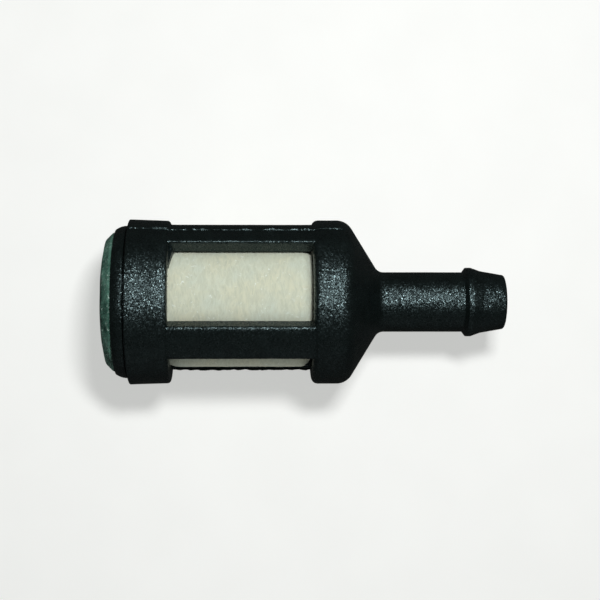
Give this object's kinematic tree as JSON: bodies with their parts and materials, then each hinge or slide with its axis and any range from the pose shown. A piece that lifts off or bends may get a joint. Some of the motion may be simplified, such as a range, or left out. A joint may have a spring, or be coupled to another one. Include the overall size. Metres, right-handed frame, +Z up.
{
  "type": "fuel filter",
  "caption": "In-tank fuel pickup filter for a small engine: ribbed black cage around a felt sleeve, domed end plug and a hose barb.",
  "frame": {"origin": "centre of the fuel outlet's mouth, at the tip of the hose barb", "axes": "+X out of the hose barb along the filter's axis, +Z up, with the filter lying on its two collars"},
  "size_m": [0.037, 0.0152, 0.0152],
  "materials": {
    "black_nylon": "spark-eroded texture, satin",
    "green_plug": "smooth moulded",
    "zinc_steel": "zinc plated",
    "filter_felt": "pressed felt",
    "screen_mesh": "woven monofilament",
    "natural_acetal": "as moulded"
  },
  "bodies": {
    "root": {"cage_housing": "black_nylon", "end_plug": "green_plug", "sinker_weight": "zinc_steel", "felt_element": "filter_felt", "core_screen": "screen_mesh", "core_frame": "natural_acetal"}
  },
  "joints": []
}
